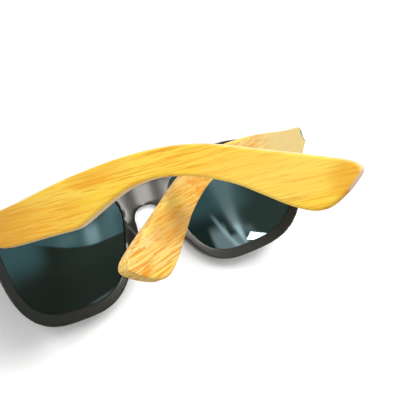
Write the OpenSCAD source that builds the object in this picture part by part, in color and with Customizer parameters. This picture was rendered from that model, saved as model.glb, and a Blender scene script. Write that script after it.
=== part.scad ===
// Sunglasses with a moulded front, tinted lenses and flat bamboo temples on sprung hinges.
// They lie face down with both temples partly folded: +X is the wearer's right, +Y the top of the
// frame and +Z the way back to the wearer. The origin is on the table, under the middle of the box.
// All sizes are in millimetres. Left and right are the wearer's.

/* [Lenses] */
// Half the width of a lens opening at its middle height
lens_half_w = 25.8; // [24:0.1:27]
// Half the height of a lens opening
lens_half_h = 24.8; // [22:0.1:27]
// How square a lens is: 2 is an ellipse, larger is squarer
lens_square = 3; // [2.4:0.1:3.6]
// How much wider a lens is at its top than at its middle, as a share
lens_flare = 0.185; // [0.1:0.005:0.2]
// How much wider a rim is along its bottom than elsewhere
rim_low_more = 1.2; // [0:0.1:2]
// Fall of a lens's top towards its outer end
lens_droop = 4.6; // [0:0.1:7]
// Turn of each lens, its outer end upwards, in degrees
lens_turn = 4.8; // [3:0.1:6]
// Distance between the middles of the lenses
lens_spacing = 80.5; // [79:0.1:83]
// Thickness of a lens
lens_thick = 2; // [1.6:0.1:2.2]
// How far the lens's edge sits in its groove
lens_grip = 0.7; // [0.4:0.1:1]
// How far the lens lies in front of the rim's back
lens_inset = 1.4; // [1:0.1:1.6]

/* [Front] */
// Radius of the front's back face
bend_r = 100; // [92:1:112]
// Thickness of the front from its face to its back
front_depth = 4.6; // [4.2:0.1:5.4]
// Width of the rim round a lens
rim_w = 3.8; // [3.2:0.1:4.2]
// Depth of the flat at the front of the bridge that the glasses rest on
flat_depth = 0.15; // [0.1:0.05:0.3]
// Height of the bridge's top above the lens middle
bridge_top_up = 21; // [18:0.5:23]
// Height of the nose arch's top above the lens middle
gap_top_up = 9.6; // [7:0.1:12]
// Squareness of the arch over the nose, 2 for an ellipse
arch_square = 2.6; // [2:0.1:3.5]
// Half the width of the nose arch where it starts to round
gap_half_w = 7.2; // [6:0.1:7.8]
// Height of the nose arch's rounded part
gap_round_h = 8; // [6:0.1:10]
// How much each side of the nose opens for each millimetre downwards
gap_flare = 0.26; // [0.2:0.01:0.32]
// Length of a nose pad below the rounded part
pad_len = 12; // [10:0.5:14]
// How far a nose pad stands behind the rim
pad_h = 3.6; // [2:0.1:5]
// Width of a nose pad
pad_w = 2.8; // [2.2:0.1:3.4]

/* [End pieces] */
// Distance of an end piece's outer side from the middle
end_out = 73.9; // [73.6:0.1:75]
// Height of an end piece
end_h = 7.9; // [7.4:0.1:9]
// Height of the lip outside the hinge, over the leaf's seat
end_lip_h = 0.6; // [0.2:0.1:1]

/* [Hinges] */
// Distance of a hinge's middle from the middle of the glasses
hinge_out = 70.1; // [69.8:0.1:70.4]
// Height of a hinge's middle above the lens middle
hinge_up = 17.2; // [16.6:0.1:17.8]
// Distance of the hinge's axle behind the table plane
hinge_back = 42.5; // [42:0.1:44]
// Lean of the hinge's axle towards the nose, in degrees
hinge_lean = 9.1; // [4:0.1:10]
// Radius of the knuckles
knuckle_r = 1.6; // [1.5:0.05:1.7]
// Height of the middle knuckle
middle_h = 2.2; // [2:0.1:2.4]
// Height of each outer knuckle
outer_h = 2.1; // [1.9:0.1:2.3]
// Radius of the hinge screw's shank
axle_r = 0.7; // [0.6:0.05:0.8]
// Radius of the hinge screw's head
axle_head_r = 1.2; // [1:0.05:1.4]
// Height of the hinge screw's head
axle_head_h = 0.45; // [0.3:0.05:0.6]
// Thickness of the leaf's plate
leaf_t = 0.8; // [0.6:0.05:1]
// Width of the leaf's plate towards the nose, from the axle
leaf_in = 2.75; // [2.7:0.05:2.8]
// Radius of a leaf rivet
rivet_r = 0.45; // [0.4:0.05:0.5]
// Length of a leaf rivet
rivet_len = 3.3; // [2.6:0.1:4]

/* [Temples] */
// Length of a temple from the hinge's axle to the tip, straight
temple_len = 137.2; // [134:0.1:145]
// Thickness of the bamboo
board_t = 4; // [3.8:0.1:4.6]
// Height of the temple's top at the hinge, above the axle's middle
front_top = 4.1; // [3.8:0.1:4.4]
// Depth of the temple's underside at the hinge, below the axle's middle
front_low = 3.4; // [3.2:0.1:4]
// Place of the shoulder, where the wide front part ends
shoulder_at = 47; // [42:1:52]
// Height of the temple's top at the shoulder
shoulder_top = 9.9; // [8:0.1:11]
// Depth of the temple's underside at the shoulder
shoulder_low = 7; // [6:0.1:8]
// Place of the crest, the highest point of the temple's top
crest_at = 73; // [68:1:76]
// Height of the crest
crest_top = 11.5; // [10:0.1:13]
// Place of the waist, where the temple is lowest in height
waist_at = 80.5; // [77:0.5:84]
// Height of the waist's underside above the axle's middle
waist_low = 2.8; // [1:0.1:4]
// Place on the tip where its underside is deepest
tip_deep_at = 126; // [122:1:130]
// Depth of the tip's underside
tip_low = 14.6; // [13:0.1:17]
// Depth of the tip's upper corner
tip_corner_low = 6.2; // [4:0.1:8]

/* [Sprung carriage] */
// Width of the spring box
box_w = 4.4; // [4.2:0.1:4.8]
// Length of the spring box
box_len = 14.8; // [14.5:0.1:16]
// Depth of the spring box under the bamboo's inner face
box_deep = 2.2; // [2:0.1:2.3]
// Height of the spring box over the bamboo's inner face
box_proud = 1.2; // [1.1:0.05:1.3]
// Length of the box's screwed tail
tail_len = 9; // [8:0.5:12]
// Thickness of the box's tail
tail_t = 0.8; // [0.6:0.1:1]
// Radius of a box screw's shank
box_screw_r = 0.5; // [0.4:0.05:0.6]
// Length of a box screw's shank
box_screw_len = 3.2; // [2.4:0.1:3.4]
// Radius of the carriage's shank
shank_r = 1.05; // [0.95:0.05:1.1]
// Length of the carriage's shank from the axle
shank_len = 5.6; // [5:0.1:6]
// Radius of the carriage's rod
rod_r = 0.45; // [0.4:0.05:0.5]
// Radius of the coil spring, to the middle of its wire
spring_r = 0.85; // [0.8:0.02:0.9]
// Diameter of the spring's wire
wire_d = 0.34; // [0.3:0.02:0.4]
// Turns of the spring
spring_turns = 8; // [6:1:10]
// Length of the spring
spring_len = 7.6; // [6.6:0.1:7.8]
// Length of the nut on the rod
nut_len = 1; // [0.8:0.1:1.2]

/* [Pose in the picture] */
// Angle of the left temple from folded flat, in degrees; 90 is square to the front
left_angle = 52.5; // [45:0.5:95]
// Angle of the right temple from folded flat, in degrees
right_angle = 32; // [5:0.1:35]

/* [Fits] */
// Radial clearance of the axle and the sliding shank
run_gap = 0.04; // [0.02:0.01:0.08]
// Gap round a piece that is glued, snapped or screwed in
seat_gap = 0.05; // [0.03:0.01:0.08]
// Gap of the bamboo's end round the turning knuckles
swing_gap = 0.4; // [0.3:0.05:0.5]

/* [Hidden] */

left = -1;
right = 1;
round_steps = 48;      // sides of small round parts
bend_steps = 240;      // sides of the front's bend
lens_steps = 72;       // points round a lens
curve_steps = 4;       // points between two control points of a temple's edge
past = 1;              // how far a cutting solid runs past what it cuts

// Front: the bend's centre lies behind the bridge
bend_centre = bend_r + front_depth - flat_depth;
front_r = bend_r + front_depth;
lens_r = bend_r + lens_inset;
sheet_w = 3 * (lens_half_h + rim_w);

// A lens outline round its own middle, grown by a margin
function power(u, e) = sign(u) * pow(abs(u), e);
function lens_point(a, grow) =
    let (u = (lens_half_w + grow) * power(cos(a), 2 / lens_square),
         low = sin(a) < 0 ? rim_low_more * (1 - grow / rim_w) : 0,
         v = (lens_half_h + grow - low) * power(sin(a), 2 / lens_square),
         w = u * (1 + lens_flare * v / lens_half_h),
         fall = lens_droop * pow(max(w, 0) / lens_half_w, 1.3) * pow(max(v, 0) / lens_half_h, 2),
         h = v - fall)
    [w * cos(lens_turn) - h * sin(lens_turn), w * sin(lens_turn) + h * cos(lens_turn)];
function lens_outline(grow) = [for (i = [0 : lens_steps - 1]) lens_point(i * 360 / lens_steps, grow)];

// The rims' highest and lowest points are equally far from the origin
rim_heights = [for (p = lens_outline(rim_w)) p[1]];
lens_x = lens_spacing / 2;
lens_y = -(max(rim_heights) + min(rim_heights)) / 2;

// Nose arch
gap_top_y = lens_y + gap_top_up;
gap_round_y = gap_top_y - gap_round_h;
pad_low_y = gap_round_y - pad_len;
gap_low_y = -lens_half_h - rim_w - past;
bridge_top_y = lens_y + bridge_top_up;
bridge_side = lens_x - lens_half_w / 2;
function gap_x(y) = gap_half_w + gap_flare * (gap_round_y - y);

// Hinge heights and places, measured from the axle's middle
hinge_y = lens_y + hinge_up;
stack_h = middle_h + 2 * outer_h + 2 * seat_gap;
leaf_top = -knuckle_r - 3 * seat_gap;
seat_z = leaf_top - leaf_t;
block_half_w = knuckle_r - 0.3;
rivet_in = (leaf_in + block_half_w) / 2 + seat_gap;
rivet_up = outer_h + seat_gap;
rivet_cap_r = rivet_r + 0.25;
rivet_cap_h = 0.3;
end_in = hinge_out - leaf_in - 2 * seat_gap;
end_low_y = hinge_y - end_h * 0.475;
end_top_y = end_low_y + end_h;
lip_in = hinge_out + knuckle_r + swing_gap;

// Temple: the board's inner face lies just inside the axle, its outer face outside
inner_face = -0.4;
outer_face = inner_face + board_t;
board_start = knuckle_r + swing_gap;
box_start = board_start + 0.2;
box_end = box_start + box_len;
box_low = inner_face - box_proud;
box_high = inner_face + box_deep;
tail_end = box_end + tail_len;
notch_end = box_start + 3.4;
stop_x = shank_len + 2 * seat_gap;
stop_len = 1;
spring_start = stop_x + stop_len + seat_gap;
nut_start = spring_start + spring_len + seat_gap;
rod_end = nut_start + nut_len + 0.2;
chamber_r = spring_r + wire_d / 2 + 0.2;
nut_r = chamber_r - 0.15;
screw_places = [box_end + tail_len * 0.25, box_end + tail_len * 0.72];
box_cap_r = box_screw_r * 2;
box_cap_h = 0.4;

// The temple's edges run smoothly through a few chosen points
reach = temple_len - crest_at;
rise = waist_at - shoulder_at;
climb = waist_low + shoulder_low;
dip = tip_deep_at - waist_at;
taper = shoulder_low - front_low;
top_points = [
    [board_start, front_top],
    [shoulder_at * 0.43, front_top + (shoulder_top - front_top) * 0.33],
    [shoulder_at, shoulder_top],
    [crest_at, crest_top],
    [crest_at + reach * 0.324, crest_top - 2],
    [crest_at + reach * 0.668, crest_top - 9.1],
    [crest_at + reach * 0.942, crest_top - 15.3],
    [temple_len - 0.5, 0.2 - tip_corner_low]
];
low_points = [
    [board_start + 0.6, -front_low],
    [board_start + 5.5, -front_low - taper * 0.42],
    [board_start + 11, -front_low - taper * 1.12],
    [board_start + 18, -shoulder_low - 0.6],
    [shoulder_at * 0.7, -shoulder_low],
    [shoulder_at - 1.5, 0.5 - shoulder_low],
    [shoulder_at + 2.7, 1.4 - shoulder_low],
    [shoulder_at + rise * 0.35, climb * 0.53 - shoulder_low],
    [shoulder_at + rise * 0.6, climb * 0.86 - shoulder_low],
    [shoulder_at + rise * 0.8, climb * 0.98 - shoulder_low],
    [waist_at, waist_low],
    [waist_at + dip * 0.23, waist_low - 1.8],
    [waist_at + dip * 0.49, waist_low - 6.1],
    [waist_at + dip * 0.66, waist_low - 10.5],
    [waist_at + dip * 0.82, waist_low - 14.9],
    [tip_deep_at - 2.6, 0.2 - tip_low],
    [tip_deep_at + 1, 0.3 - tip_low],
    [tip_deep_at + 4.6, 2.1 - tip_low],
    [temple_len - 3.6, -(tip_low + tip_corner_low) / 2],
    [temple_len - 1, -tip_corner_low - 1.8],
    [temple_len, -tip_corner_low - 0.6]
];
function blend(p, i, t) =
    let (a = p[max(i - 1, 0)], b = p[i], c = p[i + 1], d = p[min(i + 2, len(p) - 1)])
    b + 0.5 * t * ((c - a) + t * ((2 * a - 5 * b + 4 * c - d) + t * (3 * b - a - 3 * c + d)));
function smooth_edge(p) = concat(
    [for (i = [0 : len(p) - 2]) for (k = [0 : curve_steps - 1]) blend(p, i, k / curve_steps)],
    [p[len(p) - 1]]);
function turned_round(p) = [for (i = [len(p) - 1 : -1 : 0]) p[i]];

// Places
module on_side(side) {
    mirror([side > 0 ? 1 : 0, 0, 0]) children();
}
module at_hinge(side) {
    on_side(side) translate([-hinge_out, hinge_y, hinge_back]) rotate([0, 0, -hinge_lean]) children();
}
module at_temple(side) {
    at_hinge(side) rotate([0, side > 0 ? -right_angle : -left_angle, 0]) children();
}
// A cylinder along the hinge's axle, from one height to another
module post(r, low, high) {
    translate([0, low, 0]) rotate([-90, 0, 0]) cylinder(r = r, h = high - low, $fn = round_steps);
}
// A cylinder along the temple
module bar(r, start, end) {
    translate([start, 0, 0]) rotate([0, 90, 0]) cylinder(r = r, h = end - start, $fn = round_steps);
}
module block(low, high) {
    translate(low) cube(high - low);
}

// Curved sheet between two radii round the front's bend
module bent_sheet(inner_r, outer_r) {
    translate([0, 0, bend_centre]) rotate([90, 0, 0]) difference() {
        cylinder(r = outer_r, h = sheet_w, center = true, $fn = bend_steps);
        cylinder(r = inner_r, h = sheet_w + past, center = true, $fn = bend_steps);
    }
}
// An outline raised from in front of the table plane to behind the hinges
module raised() {
    translate([0, 0, -past]) linear_extrude(hinge_back + 2 * past) children();
}
module lens_shape(side, grow) {
    mirror([side > 0 ? 0 : 1, 0]) translate([lens_x, lens_y]) polygon(lens_outline(grow));
}

// Front outlines
module nose_gap() {
    arch = [for (a = [0 : 10 : 180])
        [gap_half_w * power(cos(a), 2 / arch_square), gap_round_y + gap_round_h * power(sin(a), 2 / arch_square)]];
    polygon(concat([[gap_x(gap_low_y), gap_low_y]], arch, [[-gap_x(gap_low_y), gap_low_y]]));
}
module bridge_shape() {
    foot = gap_x(pad_low_y);
    half = [[0, bridge_top_y], [bridge_side / 2, bridge_top_y + 0.4], [bridge_side, bridge_top_y + 1.5],
            [bridge_side, pad_low_y], [foot + pad_w + 1.6, pad_low_y - 2.4], [foot + 1.2, pad_low_y - 0.8],
            [foot, pad_low_y + 1], [0, pad_low_y + 1]];
    for (m = [0, 1]) mirror([m, 0]) polygon(half);
}
module end_shape() {
    for (m = [0, 1]) mirror([m, 0])
        polygon([[end_in - 6, end_low_y - 2], [end_out - 3, end_low_y - 2], [end_out, end_low_y + 0.8],
                 [end_out, end_top_y - 0.8], [end_out - 1.2, end_top_y], [end_in - 6, end_top_y + 2.4]]);
}
// A nose pad is a ridge along the nose gap, which falls towards the lens and fades into the bridge
module pad_ridge() {
    base = bend_centre - sqrt(pow(bend_r, 2) - pow(gap_half_w + pad_w, 2)) - 1;
    crest = base + 1 + pad_h;
    foot = pad_len / cos(atan(gap_flare));
    translate([gap_half_w, gap_round_y, 0]) rotate([0, 0, atan(gap_flare)]) intersection() {
        translate([0, pad_len, 0]) rotate([90, 0, 0]) linear_extrude(2 * pad_len)
            polygon([[-1, base], [-1, crest], [pad_w * 0.4, crest], [pad_w * 2.4, base]]);
        translate([-past, 0, 0]) rotate([90, 0, 90]) linear_extrude(3 * pad_w)
            polygon([[-foot, base], [-foot + 1, crest - pad_h * 0.6], [-foot * 0.65, crest],
                     [-foot * 0.35, crest], [foot * 0.3, base]]);
    }
}

// The end piece carries the hinge's leaf behind the rim's outer corner
module end_piece(side) {
    inside_front = 3;
    inner_depth = bend_centre - sqrt(pow(front_r, 2) - pow(end_in, 2)) + inside_front;
    outer_depth = bend_centre - sqrt(pow(front_r, 2) - pow(end_out, 2)) + inside_front;
    seat = hinge_back + seat_z;
    on_side(-side) translate([0, end_top_y, 0]) rotate([90, 0, 0]) linear_extrude(end_h)
        polygon([[end_in, inner_depth], [end_in, seat], [lip_in, seat], [lip_in, seat + end_lip_h],
                 [end_out, seat + end_lip_h], [end_out, outer_depth]]);
}

module front_frame() {
    color([0.16, 0.14, 0.12]) difference() {
        union() {
            intersection() {
                bent_sheet(bend_r, front_r);
                raised() {
                    difference() {
                        union() {
                            lens_shape(left, rim_w);
                            lens_shape(right, rim_w);
                            bridge_shape();
                            end_shape();
                        }
                        nose_gap();
                    }
                }
            }
            difference() {
                for (m = [0, 1]) mirror([m, 0, 0]) pad_ridge();
                raised() nose_gap();
            }
            for (side = [left, right]) end_piece(side);
        }
        for (side = [left, right]) {
            raised() lens_shape(side, 0);
            intersection() {
                bent_sheet(lens_r - seat_gap, lens_r + lens_thick + seat_gap);
                raised() lens_shape(side, lens_grip + seat_gap);
            }
            at_hinge(side) rivet_pair(seat_gap);
        }
        block([-end_out, -sheet_w / 2, -2 * past], [end_out, sheet_w / 2, 0]);
    }
}

module lens(side) {
    color([0.13, 0.2, 0.19, 0.85]) intersection() {
        bent_sheet(lens_r, lens_r + lens_thick);
        raised() lens_shape(side, lens_grip);
    }
}

// Rivets stand in the leaf's plate with their caps flush
module rivet_pair(grow) {
    for (m = [-1, 1]) translate([rivet_in, m * rivet_up, leaf_top]) {
        translate([0, 0, -rivet_len - grow]) cylinder(r = rivet_r + grow / 2, h = rivet_len + grow, $fn = round_steps);
        translate([0, 0, -rivet_cap_h])
            cylinder(r1 = rivet_r + grow / 2, r2 = rivet_cap_r + grow / 2, h = rivet_cap_h, $fn = round_steps);
    }
}
module leaf_rivets(side) {
    color("silver") at_hinge(side) rivet_pair(0);
}

module hinge_leaf(side) {
    color("gray") at_hinge(side) difference() {
        union() {
            block([-block_half_w, -stack_h / 2, seat_z], [leaf_in, stack_h / 2, leaf_top]);
            for (m = [0, 1]) mirror([0, m, 0]) {
                post(knuckle_r, stack_h / 2 - outer_h, stack_h / 2);
                block([-block_half_w, stack_h / 2 - outer_h, leaf_top - seat_gap],
                      [block_half_w, stack_h / 2, 0]);
            }
        }
        post(axle_r + run_gap, -stack_h, stack_h);
        rivet_pair(seat_gap);
    }
}

module hinge_screw(side) {
    color("silver") at_hinge(side) {
        post(axle_r, -stack_h / 2 + seat_gap, stack_h / 2 + 2 * seat_gap);
        post(axle_head_r, stack_h / 2 + seat_gap, stack_h / 2 + seat_gap + axle_head_h);
    }
}

// The carriage is the middle knuckle with a shank that slides in the spring box
module carriage(side) {
    color("gray") at_temple(side) difference() {
        union() {
            post(knuckle_r, -middle_h / 2, middle_h / 2);
            bar(shank_r, 0, shank_len);
            bar(rod_r, shank_len - seat_gap, rod_end);
        }
        post(axle_r + run_gap, -stack_h, stack_h);
    }
}

module spring_nut(side) {
    color("silver") at_temple(side) difference() {
        bar(nut_r, nut_start, nut_start + nut_len);
        bar(rod_r + run_gap / 2, nut_start - past, nut_start + nut_len + past);
    }
}

// Spring: a six-sided tube along a helix round the rod
spring_sides = 6;
steps_per_turn = 10;
spring_rings = spring_turns * steps_per_turn;
spring_rise = spring_len - wire_d - 2 * seat_gap;
function spring_ring(i) =
    let (a = i * 360 / steps_per_turn, x = spring_start + seat_gap + wire_d / 2 + spring_rise * i / spring_rings)
    [for (k = [0 : spring_sides - 1])
        let (b = k * 360 / spring_sides, r = spring_r + wire_d / 2 * cos(b))
        [x + wire_d / 2 * sin(b), r * cos(a), r * sin(a)]];
module spring(side) {
    points = [for (i = [0 : spring_rings]) each spring_ring(i)];
    walls = [for (i = [0 : spring_rings - 1]) for (k = [0 : spring_sides - 1])
        let (a = i * spring_sides + k, b = i * spring_sides + (k + 1) % spring_sides)
        each [[a, b, b + spring_sides], [a, b + spring_sides, a + spring_sides]]];
    first_cap = [for (k = [1 : spring_sides - 2]) [0, k + 1, k]];
    last = spring_rings * spring_sides;
    last_cap = [for (k = [1 : spring_sides - 2]) [last, last + k, last + k + 1]];
    color("silver") at_temple(side) polyhedron(points, concat(walls, first_cap, last_cap));
}

module spring_box(side) {
    half = box_w / 2;
    color("gray") at_temple(side) difference() {
        union() {
            block([box_start, -half, box_low], [box_end, half, box_high]);
            block([box_end - past, -half, inner_face - tail_t], [tail_end, half, inner_face]);
        }
        bar(shank_r + run_gap, box_start - past, stop_x);
        bar(rod_r + run_gap, stop_x - past, stop_x + stop_len + past);
        bar(chamber_r, stop_x + stop_len, box_end - 0.6);
        box_screw_pair(seat_gap);
    }
}

module box_screw_pair(grow) {
    for (x = screw_places) translate([x, 0, inner_face - tail_t]) {
        cylinder(r = box_screw_r + grow / 2, h = box_screw_len + grow, $fn = round_steps);
        if (grow == 0) translate([0, 0, -box_cap_h])
            cylinder(r = box_cap_r, h = box_cap_h, $fn = round_steps);
    }
}
module box_screws(side) {
    color("silver") at_temple(side) box_screw_pair(0);
}

// Temple: a flat bamboo board with a pocket for the spring box and a notch at its nose
module temple(side) {
    half = box_w / 2 + seat_gap;
    color([0.87, 0.62, 0.25]) at_temple(side) difference() {
        translate([0, 0, inner_face]) linear_extrude(board_t)
            polygon(concat(smooth_edge(top_points), turned_round(smooth_edge(low_points))));
        block([0, -half, inner_face - past], [box_end + seat_gap, half, box_high + seat_gap]);
        block([0, -half, inner_face - past], [notch_end, half, outer_face + past]);
        post(board_start, -shoulder_low, front_top + past);
        box_screw_pair(seat_gap);
    }
}

front_frame();
lens(left);  // left_lens
lens(right);  // right_lens
hinge_leaf(left);  // left_hinge_leaf
hinge_leaf(right);  // right_hinge_leaf
leaf_rivets(left);  // left_leaf_rivets
leaf_rivets(right);  // right_leaf_rivets
hinge_screw(left);  // left_hinge_screw
hinge_screw(right);  // right_hinge_screw
carriage(left);  // left_carriage
carriage(right);  // right_carriage
spring(left);  // left_spring
spring(right);  // right_spring
spring_nut(left);  // left_spring_nut
spring_nut(right);  // right_spring_nut
spring_box(left);  // left_spring_box
spring_box(right);  // right_spring_box
box_screws(left);  // left_box_screws
box_screws(right);  // right_box_screws
temple(left);  // left_temple
temple(right);  // right_temple
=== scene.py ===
"""Looks of a pair of sunglasses with bamboo temples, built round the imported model.

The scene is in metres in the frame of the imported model: +X to the wearer's right, +Y to the top of the
frame, +Z up from the table. Left and right are the wearer's. A temple's own frame has X along the temple
from the hinge, Y up and Z outwards. Lengths in constants are in millimetres, unless a name says metres.
"""

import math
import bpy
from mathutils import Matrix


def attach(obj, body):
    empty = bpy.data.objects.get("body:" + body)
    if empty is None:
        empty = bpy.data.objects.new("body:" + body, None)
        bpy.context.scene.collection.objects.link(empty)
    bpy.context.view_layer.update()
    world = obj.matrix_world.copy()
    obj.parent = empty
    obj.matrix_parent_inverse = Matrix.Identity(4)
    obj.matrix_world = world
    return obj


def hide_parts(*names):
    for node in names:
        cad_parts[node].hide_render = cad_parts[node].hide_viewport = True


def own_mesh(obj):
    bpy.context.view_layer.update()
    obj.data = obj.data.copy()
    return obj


bl_info = {
    "name": "Sunglasses with bamboo temples",
    "version": (1, 0, 0),
    "blender": (4, 5, 0),
    "location": "3D View > Sidebar > Sunglasses",
    "description": "Builds the front, lenses, temples, hinges and stage of a pair of sunglasses",
    "category": "Add Mesh",
}

import bmesh
import bpy
from mathutils import Euler, Matrix, Vector

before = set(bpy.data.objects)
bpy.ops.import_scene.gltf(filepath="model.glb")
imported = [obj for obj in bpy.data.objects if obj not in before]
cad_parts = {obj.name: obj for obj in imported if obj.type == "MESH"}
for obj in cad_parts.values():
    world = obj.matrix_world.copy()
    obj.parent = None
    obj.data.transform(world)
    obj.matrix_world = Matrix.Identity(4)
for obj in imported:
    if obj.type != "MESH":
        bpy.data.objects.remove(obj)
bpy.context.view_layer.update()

MM = 0.001
TINY = 1e-6
LEFT, RIGHT = -1, 1
SIDES = {LEFT: "left", RIGHT: "right"}

# The model's own sizes, as its source gives them. Angles are in degrees
HINGE_PLACE = Vector((70.1, 17.359, 42.5))
HINGE_LEAN = 9.1
FOLD = {LEFT: 52.5, RIGHT: 32.0}
BEND_R = 100.0
FRONT_DEPTH = 4.6
FLAT_DEPTH = 0.15
BEND_CENTRE = BEND_R + FRONT_DEPTH - FLAT_DEPTH
LENS_INSET = 1.4
LENS_R = BEND_R + LENS_INSET
LENS_THICK = 2.0
LENS_GRIP = 0.7
LENS_HALF = (25.8, 24.8)
LENS_MIDDLE = (40.25, 0.159)
LENS_SQUARE = 3.0
LENS_FLARE = 0.185
LENS_DROOP = 4.6
LENS_TURN = 4.8
RIM_W = 3.8
RIM_LOW_MORE = 1.2
BOARD_T = 4.0
BOARD_INNER = -0.4
BOX_END = 17.0
BOX_HALF = 2.2
BOX_HIGH = 1.8
NOTCH_END = 5.6
SPRING_START, SPRING_END = 6.8, 14.3
SPRING_RADIUS, SPRING_WIRE, SPRING_TURNS, SPRING_SQUEEZE = 0.85, 0.34, 8.0, 1.52
TOP_EDGE = [
    (2.0, 4.1), (20.2, 6.0), (47.0, 9.9), (73.0, 11.5), (93.8, 9.5), (115.9, 2.4), (133.5, -3.8),
    (136.7, -6.0),
]
LOW_EDGE = [
    (2.6, -3.4), (7.5, -4.912), (13.0, -7.432), (20.0, -7.6), (32.9, -7.0), (45.5, -6.5), (49.7, -5.6),
    (58.7, -1.8), (67.1, 1.43), (73.8, 2.6), (80.5, 2.8), (91.0, 1.0), (102.8, -3.3), (110.5, -7.7),
    (117.8, -12.1), (123.4, -14.4), (127.0, -14.3), (130.6, -12.5), (133.6, -10.4), (136.2, -8.0),
    (137.2, -6.8),
]

# How finely the shapes are cut
CURVE_PARTS = 6
ROUND_PARTS = 5
OUTLINE_SPACING, OUTLINE_PASSES = 0.7, 3
CAP_INSET = 0.25
POCKET_GAP = 0.06
PAST = 1.0
BOARD_CREASE, PLAIN_CREASE = 35.0, 40.0
SMOOTH_FACTOR = 0.5
COIL_SIDES, WIRE_SIDES = 36, 12
LENS_AROUND, LENS_ACROSS = 193, 97
# The share of a lens's rows that its edge takes, and how its outer upper corner droops
LENS_WALL = 0.02
DROOP_OUT, DROOP_UP = 1.3, 2.0

# The bridge: where its back is lowered, how the melting fades out, and the slopes that it keeps off
BRIDGE_FLAT, BRIDGE_RISE, BRIDGE_END = 3.5, 9.5, 14.2
BRIDGE_UP = (4.0, 9.0)
BRIDGE_FADE = (1.6, 0.2)
PAD_UP = (-24.0, -18.0)
SLOPE_DOWN, SLOPE_BACK, SLOPE_TOP, SLOPE_TO_LENS = -0.2, 0.45, 0.7, 0.35

# The front's plastic: soft clouds and a fine grain, and what both add to its roughness
CLOUD_GRAIN, CLOUD_RANGE, CLOUD_LEVEL, CLOUD_ROUGH = 60.0, (0.35, 0.7), 1.25, 0.08
FINE_GRAIN, FINE_ROUGH = 900.0, 0.04
PLASTIC_ROUGH, PLASTIC_IOR = 0.27, 1.42

# The lens's look: its curve as if it were ground rounder, where its back ends, and a thin smear
LENS_APEX = 4.5
LENS_ROUND = 88.0
LENS_BACK = (1.2, 1.4)
LENS_IOR, LENS_ALPHA = 1.93, 0.955
SMEAR_GRAIN, SMEAR_RANGE = (30.0, 90.0, 30.0), (0.5, 0.8)
LENS_ROUGH, SMEAR_ROUGH = 0.012, 0.05

# The bamboo's grain: how often it changes in a metre along, up and out of a temple
BROAD_GRAIN = (12.0, 240.0, 160.0)
BAND_GRAIN = (26.0, 620.0, 300.0)
STREAK_GRAIN = (45.0, 1500.0, 600.0)
DASH_GRAIN = {LEFT: (80.0, 2900.0, 900.0), RIGHT: (120.0, 2000.0, 700.0)}
KNOT_GRAIN = (252.0, 588.0, 420.0)
# Where each grain takes its colour, from a little to fully, and how much of it then shows
BROAD_RANGE = (0.3, 0.7)
BAND_RANGE, BAND_SHARE = (0.5, 0.72), 0.7
STREAK_RANGE, STREAK_SHARE = (0.5, 0.66), 0.85
BETWEEN_RANGE, BETWEEN_SHARE = (0.34, 0.48), 0.75
DASH_RANGE = {LEFT: (0.56, 0.68), RIGHT: (0.54, 0.6)}
DASH_SHARE = {LEFT: 0.7, RIGHT: 0.85}
GROUND = {LEFT: ("bamboo", "bamboo_pale"), RIGHT: ("bamboo_pale", "bamboo_light")}
BAMBOO_ROUGH, STREAK_ROUGH, DASH_DEPTH, BAMBOO_IOR = 0.45, 0.2, 0.6, 1.4
# Soft ovals of another colour: an orange hump, lower side and tip and a pale zone on the left temple, a brown
# blotch between darker zones on the right one
MARKS = {
    LEFT: [
        dict(middle=(57, 10), size=(12, 5), tone="bamboo_streak", share=0.4),
        dict(middle=(34, -2), size=(22, 7), tone="bamboo_streak", share=0.25),
        dict(middle=(136, -8), size=(7, 6), tone="bamboo_dash", share=0.5),
        dict(middle=(111, -3), size=(20, 9), tone="bamboo_light", share=0.16),
        dict(middle=(111, -3), size=(20, 9), tone="bamboo_pale", share=0.35),
    ],
    RIGHT: [
        dict(middle=(102, 0), size=(10, 7), tone="bamboo_dash", share=0.15),
        dict(middle=(116, -3), size=(8, 5), tone="bamboo_brown", share=0.55, level=0.9),
        dict(middle=(108, -5), size=(14, 2.5), tone="bamboo_brown", share=0.3),
    ],
}
OVAL_FADE = (0.3, 1.6)
LEFT_END, LEFT_END_SHARE = (8.0, 44.0), 0.75
RIGHT_END, RIGHT_END_SHARE, RIGHT_END_LEVEL = (30.0, 60.0), 0.9, 0.84
RIGHT_SHADE = (0.9, 0.9, 0.95)
KNOT_PLACE, KNOT_SIZE = (94, 3), (7, 5)
KNOT_DARK, KNOT_DARK_SHARE = (0.42, 0.6), 0.85
KNOT_LIGHT, KNOT_LIGHT_SHARE = (0.32, 0.44), 0.7
PORES = [
    (112, 1.4), (121.5, -1.4), (125.5, -2.6), (128.5, -4.6), (130.5, -4.0), (133, -6.6), (135, -5.8),
    (134, -8.2), (128.5, -8.8), (118, -0.2),
]
PORE_SIZE, PORE_SHARE = (0.26, 0.2), 0.5
# The line of dots along the right tip's outer edge
DOT_GRAIN, DOT_RANGE, DOT_SHARE = 1400.0, (0.45, 0.6), 0.5
DOT_LINE = (3.2, 0.14)
DOT_START = (125.0, 132.0)
# The left temple's sanded edges, pale partly from the wood and partly as a painted highlight, with painted
# shade round the tip: how much of them shows, their depth below the outer face, the crest of the top edge,
# whose bend is per metre, and where the painted shade and the painted highlight begin
EDGE_AND_HIGHLIGHT_SHARE = 0.95
WALL_OUTER, WALL_INNER = (1.5, 0.7), (-0.1, 0.6)
HIGHLIGHT_ROUNDING = (0.6, 0.01)
CREST_ALONG, CREST_UP, CREST_BEND = 70.0, 7.0, 4.8
TOP_FADE = (0.0, 2.0)
TIP_SHADE_START = (100.0, 120.0)
HIGHLIGHT_START = (50.0, 70.0)
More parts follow.
